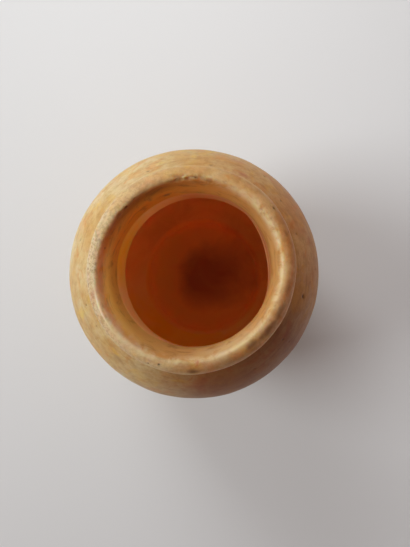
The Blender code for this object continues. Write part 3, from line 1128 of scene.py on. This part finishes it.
class NodeSheet:
    """Adds and joins nodes of one material."""

    octave_strength: float = 0.62

    def __init__(self, name: str) -> None:
        """Makes the material with its shader.

        Args:
            name: The material's name.
        """
        self.material = bpy.data.materials.new(name)
        self.material.use_nodes = True
        self.tree = self.material.node_tree
        self.shader = self.tree.nodes["Principled BSDF"]
        self.place = self.tree.nodes.new("ShaderNodeTexCoord").outputs["Object"]

    def put(self, socket: bpy.types.NodeSocket, value: object) -> None:
        """Links another node's socket to an input, or sets a plain value on it.

        Args:
            socket: The input.
            value: What goes into it.
        """
        if isinstance(value, bpy.types.NodeSocket):
            self.tree.links.new(value, socket)
        else:
            socket.default_value = value

    def moved(self, offset: float) -> bpy.types.NodeSocket:
        """Moves the object's coordinates by the same offset along each axis.

        Args:
            offset: How far they move.

        Returns:
            The moved coordinates.
        """
        node = self.tree.nodes.new("ShaderNodeMapping")
        node.inputs["Location"].default_value = (offset, offset, offset)
        self.tree.links.new(self.place, node.inputs["Vector"])
        return node.outputs["Vector"]

    def noise(self, pattern: Pattern, place: bpy.types.NodeSocket | None = None) -> bpy.types.NodeSocket:
        """Cloudy noise from 0 to 1.

        Args:
            pattern: Its scale, octaves, twist and offset.
            place: Coordinates other than the object's own.

        Returns:
            The noise's value.
        """
        node = self.tree.nodes.new("ShaderNodeTexNoise")
        node.inputs["Scale"].default_value = pattern.scale
        node.inputs["Detail"].default_value = pattern.octaves
        node.inputs["Roughness"].default_value = self.octave_strength
        node.inputs["Distortion"].default_value = pattern.twist
        if place is None:
            place = self.moved(pattern.offset) if pattern.offset else self.place
        self.tree.links.new(place, node.inputs["Vector"])
        return node.outputs["Fac"]

    def pattern(self, pattern: Pattern, place: bpy.types.NodeSocket | None = None) -> bpy.types.NodeSocket:
        """Share to which a cloudy pattern shows.

        Args:
            pattern: The pattern.
            place: Coordinates other than the object's own.

        Returns:
            The share, from 0 to the pattern's most.
        """
        return self.step(self.noise(pattern, place), pattern.low, pattern.high, pattern.most)

    def along_rings(self, across: float, along: float) -> bpy.types.NodeSocket:
        """Coordinates that run slowly round the vase and fast along its section.

        Args:
            across: Cloud count in a metre across the vase.
            along: Cloud count in a metre along its section.

        Returns:
            The coordinates.
        """
        parts = self.tree.nodes.new("ShaderNodeSeparateXYZ")
        joined = self.tree.nodes.new("ShaderNodeCombineXYZ")
        self.tree.links.new(self.place, parts.inputs[0])
        for axis in ("X", "Y"):
            self.put(joined.inputs[axis], self.times(parts.outputs[axis], across))
        self.put(joined.inputs["Z"], self.times(self.layer(Layer.ALONG), along))
        return joined.outputs[0]

    def layer(self, layer: Layer | Tint) -> bpy.types.NodeSocket:
        """Reads one of the mesh's own layers.

        Args:
            layer: Which one.

        Returns:
            Its value.
        """
        node = self.tree.nodes.new("ShaderNodeAttribute")
        node.attribute_name = layer.value
        return node.outputs["Fac"]

    def ramp(
        self, value: bpy.types.NodeSocket, stops: Sequence[tuple[float, Colour]]
    ) -> bpy.types.NodeSocket:
        """Colours along a value.

        Args:
            value: The value to read.
            stops: Places from 0 to 1 and their colours.

        Returns:
            The colour.
        """
        node = self.tree.nodes.new("ShaderNodeValToRGB")
        while len(node.color_ramp.elements) < len(stops):
            node.color_ramp.elements.new(0.5)
        for element, (position, colour) in zip(node.color_ramp.elements, stops):
            element.position = position
            element.color = colour
        self.tree.links.new(value, node.inputs["Fac"])
        return node.outputs["Color"]

    def step(
        self, value: bpy.types.NodeSocket, low: float, high: float, most: float = 1.0
    ) -> bpy.types.NodeSocket:
        """Steps a value smoothly.

        Args:
            value: The value to read.
            low: Where the result is 0.
            high: Where it reaches its most.
            most: The result there.

        Returns:
            The stepped value.
        """
        node = self.tree.nodes.new("ShaderNodeMapRange")
        node.interpolation_type = "SMOOTHSTEP"
        node.inputs["From Min"].default_value = low
        node.inputs["From Max"].default_value = high
        node.inputs["To Max"].default_value = most
        self.tree.links.new(value, node.inputs["Value"])
        return node.outputs["Result"]

    def math(self, operation: str, first: object, second: object) -> bpy.types.NodeSocket:
        """Adds, multiplies or otherwise joins two values.

        Args:
            operation: Blender's name of the operation.
            first: First value.
            second: Second value.

        Returns:
            The result.
        """
        node = self.tree.nodes.new("ShaderNodeMath")
        node.operation = operation
        self.put(node.inputs[0], first)
        self.put(node.inputs[1], second)
        return node.outputs["Value"]

    def times(self, first: object, second: object) -> bpy.types.NodeSocket:
        """Product of two values."""
        return self.math("MULTIPLY", first, second)

    def between(self, start: float, end: float, share: bpy.types.NodeSocket) -> bpy.types.NodeSocket:
        """Number that goes from a start to an end as a share goes from 0 to 1."""
        return self.math("ADD", start, self.times(share, end - start))

    def mix(self, share: object, first: object, second: object, blend: str = "MIX") -> bpy.types.NodeSocket:
        """Mixes two colours.

        Args:
            share: How much of the second one shows.
            first: Colour under it.
            second: Colour over it.
            blend: Blender's name of the way to mix.

        Returns:
            The mixed colour.
        """
        node = self.tree.nodes.new("ShaderNodeMix")
        node.data_type = "RGBA"
        node.blend_type = blend
        self.put(node.inputs["Factor"], share)
        self.put(node.inputs["A"], first)
        self.put(node.inputs["B"], second)
        return node.outputs["Result"]


@dataclass(frozen=True)
class Alabaster:
    """Mottled honey-coloured stone, pale and rough where worn, deep amber inside, with painted shade,
    highlights and glow.
    """

    honey: Colour = (0.58, 0.36, 0.13, 1)
    cream: Colour = (0.64, 0.49, 0.26, 1)
    orange: Colour = (0.63, 0.29, 0.07, 1)
    yellow: Colour = (0.69, 0.44, 0.07, 1)
    band: Colour = (0.34, 0.17, 0.06, 1)
    # Colour multiplied in where warm shade is painted on the side away from the light.
    warm_shade: Colour = (1.0, 0.70, 0.42, 1)
    # Colour multiplied in where shade is painted on the outside.
    painted_side_shade: Colour = (0.48, 0.26, 0.12, 1)
    scuff: Colour = (0.30, 0.12, 0.03, 1)
    pores: Colour = (0.62, 0.54, 0.44, 1)
    mottle: Colour = (0.88, 0.80, 0.68, 1)
    worn: Colour = (0.60, 0.49, 0.32, 1)
    # Colour of the painted highlight on the lip's edges.
    line: Colour = (0.84, 0.70, 0.48, 1)
    speck: Colour = (0.30, 0.20, 0.11, 1)
    # Lit and shaded copies of the flare's colour: peach where it faces the light, resin orange where light
    # through the stone is painted as a glow.
    peach: Colour = (0.52, 0.26, 0.08, 1)
    resin: Colour = (0.74, 0.26, 0.02, 1)
    # Pale colour of the painted highlight on the smooth crest.
    rubbed_highlight: Colour = (0.68, 0.55, 0.33, 1)
    shade: Colour = (0.54, 0.47, 0.42, 1)
    # Olive of the left flare, part its own tone and part painted light.
    olive: Colour = (0.84, 0.54, 0.10, 1)
    # Colours of the painted glow inside, from the brightest amber down to the shaded heart.
    amber: Colour = (0.99, 0.56, 0.04, 1)
    coal: Colour = (0.99, 0.62, 0.22, 1)
    ember: Colour = (0.88, 0.46, 0.16, 1)
    cinder: Colour = (0.96, 0.38, 0.11, 1)
    blaze: Colour = (0.99, 0.45, 0.12, 1)
    heart: Colour = (0.50, 0.14, 0.06, 1)
    dirt: Colour = (0.035, 0.017, 0.008, 1)
    rust: Colour = (0.24, 0.11, 0.04, 1)
    rose: Colour = (0.46, 0.14, 0.07, 1)
    cream_clouds: Pattern = Pattern(52, 4, 0.8, 0.36, 0.62)
    orange_clouds: Pattern = Pattern(115, 3, 0.8, 0.54, 0.68, 0.6)
    yellow_clouds: Pattern = Pattern(88, 3, 0.8, 0.53, 0.68, 0.6, 3.7)
    level_bands: Pattern = Pattern(1, 4, 1.0, 0.50, 0.72, 0.36)
    band_stretch: tuple[float, float] = (24, 250)
    mottles: Pattern = Pattern(300, 4, 0.3, 0.42, 0.66)
    worn_patches: Pattern = Pattern(210, 5, 0.5, 0.25, 0.62, 0.4)
    worn_between: float = 0.55
    specks: Pattern = Pattern(2300, 2, 0.0, 0.52, 0.68, 0.6)
    speck_groups: Pattern = Pattern(110, 3, 0.0, 0.40, 0.62, 1.0, 9.1)
    specks_unworn: float = 0.2
    grain: Pattern = Pattern(900, 3, 0.3, 0.40, 0.64, 0.8)
    grain_unworn: float = 0.15
    streak_stretch: tuple[float, float] = (130, 520)
    tan_streaks: Pattern = Pattern(1, 5, 0.8, 0.48, 0.72, 0.45)
    flare_streaks: Pattern = Pattern(1, 5, 0.8, 0.48, 0.70, 0.6)
    highlight_patches: Pattern = Pattern(190, 4, 0.6, 0.32, 0.58, 0.95)
    glow_clouds: Pattern = Pattern(75, 4, 0.8)
    glow_swing: float = 0.35
    olive_share: float = 0.7
    line_share: float = 0.8
    inside_when_worn: float = 0.25
    inside_starts: tuple[float, float] = (0.01, 0.09)
    bore_starts: tuple[float, float] = (0.46, 0.52)

    smooth_roughness: float = 0.46
    worn_roughness: float = 0.68
    rubbed_shine: float = 0.20
    inner_roughness: tuple[float, float, float] = (0.4, 0.9, 0.2)
    grain_strength: float = 0.3
    grain_height: float = 0.12 * MM
    gloss: float = 0.22
    subsurface: float = 0.88
    light_reach: tuple[float, float, float] = (1.0, 0.42, 0.16)
    light_reach_scale: float = 10.0 * MM

    def clouds(self, sheet: NodeSheet) -> bpy.types.NodeSocket:
        """Soft honey, cream, orange and yellow clouds, crossed by faint level bands.

        Args:
            sheet: The material's nodes.

        Returns:
            The colour.
        """
        colour = sheet.mix(sheet.pattern(self.cream_clouds), self.honey, self.cream)
        colour = sheet.mix(sheet.pattern(self.orange_clouds), colour, self.orange)
        colour = sheet.mix(sheet.pattern(self.yellow_clouds), colour, self.yellow)
        bands = sheet.pattern(self.level_bands, sheet.along_rings(*self.band_stretch))
        colour = sheet.mix(bands, colour, self.band)
        return sheet.mix(sheet.pattern(self.mottles), colour, self.mottle, "MULTIPLY")

    def outside(
        self, sheet: NodeSheet, worn: bpy.types.NodeSocket, streaks: bpy.types.NodeSocket
    ) -> bpy.types.NodeSocket:
        """Colour of the outside: clouded stone, worn, speckled and porous, with banding streaks and painted
        warm and brown shade on the side away from the light.

        Args:
            sheet: The material's nodes.
            worn: How much it is worn.
            streaks: Coordinates of the streaks round the vase.

        Returns:
            The colour.
        """
        wear, warm_shade = sheet.layer(Layer.WEAR), sheet.layer(Layer.TAN)
        colour = sheet.mix(worn, self.clouds(sheet), self.worn)
        specks = sheet.times(sheet.pattern(self.specks), sheet.pattern(self.speck_groups))
        specks = sheet.times(specks, sheet.between(self.specks_unworn, 1, wear))
        colour = sheet.mix(specks, colour, self.speck)
        pores = sheet.times(sheet.between(self.grain_unworn, 1, wear), sheet.pattern(self.grain))
        colour = sheet.mix(pores, colour, self.pores, "MULTIPLY")
        # Banding streaks on the side away from the light, then the painted warm shade there.
        colour = sheet.mix(sheet.times(warm_shade, sheet.pattern(self.tan_streaks, streaks)), colour, self.band)
        colour = sheet.mix(warm_shade, colour, self.warm_shade, "MULTIPLY")
        # Painted shade on the side away from the light and in the recess under the lip.
        return sheet.mix(sheet.layer(Layer.PAINTED_SIDE_SHADE), colour, self.painted_side_shade, "MULTIPLY")

    def inside(self, sheet: NodeSheet, streaks: bpy.types.NodeSocket) -> bpy.types.NodeSocket:
        """Colour of the inside: the scuffed flare with its painted glow, then the painted glow and shade of
        the bore, wall and floor.

        Args:
            sheet: The material's nodes.
            streaks: Coordinates of the streaks round the vase.

        Returns:
            The colour.
        """
        # Painted light on the flare: peach on the lit side, a glowing resin orange on the far side.
        flare = sheet.mix(sheet.layer(Layer.AMBER), self.peach, self.resin)
        # Olive on the shaded left flare, partly its own tone and partly painted light.
        flare = sheet.mix(sheet.times(sheet.layer(Layer.OLIVE), self.olive_share), flare, self.olive)
        flare = sheet.mix(sheet.pattern(self.flare_streaks, streaks), flare, self.scuff)
        # Painted glow and shade of the bore, wall and floor.
        clouded = sheet.times(sheet.math("SUBTRACT", sheet.noise(self.glow_clouds), 0.5), self.glow_swing)
        glow = sheet.math("ADD", sheet.layer(Layer.GLOW), clouded)
        wall_stops = ((0.0, self.heart), (0.45, self.ember), (0.75, self.coal), (1.0, self.amber))
        floor_stops = ((0.0, self.heart), (0.45, self.cinder), (0.9, self.blaze))
        wall, floor = sheet.ramp(glow, wall_stops), sheet.ramp(glow, floor_stops)
        deep = sheet.mix(sheet.layer(Layer.FLOOR), wall, floor)
        return sheet.mix(sheet.step(sheet.layer(Layer.DEPTH), *self.bore_starts), flare, deep)

    def material(self) -> bpy.types.Material:
        """Builds the stone's nodes.

        Returns:
            The material.
        """
        sheet = NodeSheet("alabaster")
        shader = sheet.shader.inputs
        wear, depth, rubbed_highlight = (sheet.layer(name) for name in (Layer.WEAR, Layer.DEPTH, Layer.RUBBED_HIGHLIGHT))
        worn = sheet.times(wear, sheet.math("ADD", self.worn_between, sheet.pattern(self.worn_patches)))
        streaks = sheet.along_rings(*self.streak_stretch)
        shown = sheet.between(1, self.inside_when_worn, wear)
        shown = sheet.times(shown, sheet.step(depth, *self.inside_starts))
        colour = sheet.mix(shown,self.outside(sheet, worn, streaks), self.inside(sheet, streaks))
        # Painted highlight on the smooth crest and the slope inside it.
        colour = sheet.mix(sheet.times(rubbed_highlight, sheet.pattern(self.highlight_patches)), colour, self.rubbed_highlight)
        # Painted shade on the flare, the lip's edge and the throat.
        colour = sheet.mix(sheet.layer(Layer.SHADE), colour, self.shade, "MULTIPLY")
        # Painted highlight along the lip's outer edge and crisp crest.
        colour = sheet.mix(sheet.times(sheet.layer(Layer.PAINTED_HIGHLIGHT), self.line_share), colour, self.line)
        for tint, shade in ((Tint.ROSE, self.rose), (Tint.RUST, self.rust), (Tint.DIRT, self.dirt)):
            colour = sheet.mix(sheet.layer(tint), colour, shade)
        sheet.put(shader["Base Color"], colour)
        roughness = sheet.between(self.smooth_roughness, self.worn_roughness, worn)
        roughness = sheet.math("SUBTRACT", roughness, sheet.times(rubbed_highlight, self.rubbed_shine))
        roughness = sheet.math("ADD", roughness, sheet.step(depth, *self.inner_roughness))
        sheet.put(shader["Roughness"], roughness)
        bump_node = sheet.tree.nodes.new("ShaderNodeBump")
        sheet.put(bump_node.inputs["Strength"], self.grain_strength)
        sheet.put(bump_node.inputs["Distance"], self.grain_height)
        sheet.put(bump_node.inputs["Height"], sheet.noise(self.grain))
        sheet.put(shader["Normal"], bump_node.outputs["Normal"])
        sheet.put(shader["Specular IOR Level"], self.gloss)
        sheet.put(shader["Subsurface Weight"], self.subsurface)
        sheet.put(shader["Subsurface Radius"], self.light_reach)
        sheet.put(shader["Subsurface Scale"], self.light_reach_scale)
        return sheet.material


@dataclass(frozen=True)
class Softbox:
    """One soft square lamp with a grid, which narrows its beam to the spread."""

    name: str
    heading: float
    rise: float
    distance: float
    width: float
    power: float
    spread: float
    aim: tuple[float, float, float]
    colour: tuple[float, float, float]

    def build(self) -> None:
        """Makes the lamp, turned to its aim."""
        data = bpy.data.lights.new(self.name, "AREA")
        data.shape, data.size = "SQUARE", self.width
        data.energy, data.color = self.power, self.colour
        data.spread = math.radians(self.spread)
        lamp = bpy.data.objects.new(self.name, data)
        turn, rise = math.radians(self.heading), math.radians(self.rise)
        way = Vector((math.cos(rise) * math.cos(turn), math.cos(rise) * math.sin(turn), math.sin(rise)))
        place = Vector(self.aim) + way * self.distance
        facing_aim = (-way).to_track_quat("-Z", "Y").to_matrix().to_4x4()
        lamp.matrix_world = Matrix.Translation(place) @ facing_aim
        bpy.context.scene.collection.objects.link(lamp)


@dataclass(frozen=True)
class Studio:
    """Plain pale floor, soft light from the left and the far side, and a weak warm fill."""

    floor_size: float = 6.0
    floor_colour: Colour = (0.74, 0.725, 0.735, 1)
    floor_roughness: float = 0.7
    sky_colour: Colour = (1.0, 0.84, 0.78, 1)
    sky_strength: float = 0.26
    lamps: tuple[Softbox, ...] = (
        Softbox("left_window", 185, 48.4, 0.88, 0.51, 2.33, 108.5, (-0.182, 0.074, 0.03), (0.93, 1.0, 1.0)),
        Softbox("far_window", 125.7, 38.2, 0.50, 0.45, 0.543, 63.8, (0.049, 0.211, 0.03), (0.95, 1.0, 1.0)),
    )

    def build(self) -> None:
        """Makes the floor, the lamps and the sky, and sets how colours are shown."""
        deselect_all()
        bpy.ops.mesh.primitive_plane_add(size=self.floor_size, location=(0, 0, 0))
        floor = bpy.context.object
        floor.name = "floor"
        sheet = NodeSheet("pale_floor")
        sheet.put(sheet.shader.inputs["Base Color"], self.floor_colour)
        sheet.put(sheet.shader.inputs["Roughness"], self.floor_roughness)
        floor.data.materials.append(sheet.material)
        for lamp in self.lamps:
            lamp.build()
        world = bpy.data.worlds.new("plain_sky")
        world.use_nodes = True
        background = world.node_tree.nodes["Background"]
        background.inputs["Color"].default_value = self.sky_colour
        background.inputs["Strength"].default_value = self.sky_strength
        bpy.context.scene.world = world
        bpy.context.scene.view_settings.view_transform = "Standard"


def main() -> None:
    """Loads the frame, builds and dresses the vase, and sets the studio round it."""
    logging.basicConfig(level=logging.INFO, format="%(name)s: %(message)s")
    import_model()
    low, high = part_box("vase")
    section = Section(height=high.z, body_radius=(high.x - low.x) / 2)
    viewpoint = Viewpoint()
    viewpoint.build()
    vase = AlabasterVase(section, viewpoint).build()
    vase.data.materials.clear()
    vase.data.materials.append(Alabaster().material())
    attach(vase, "root")
    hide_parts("vase")
    Studio().build()


if __name__ == "__main__":
    main()
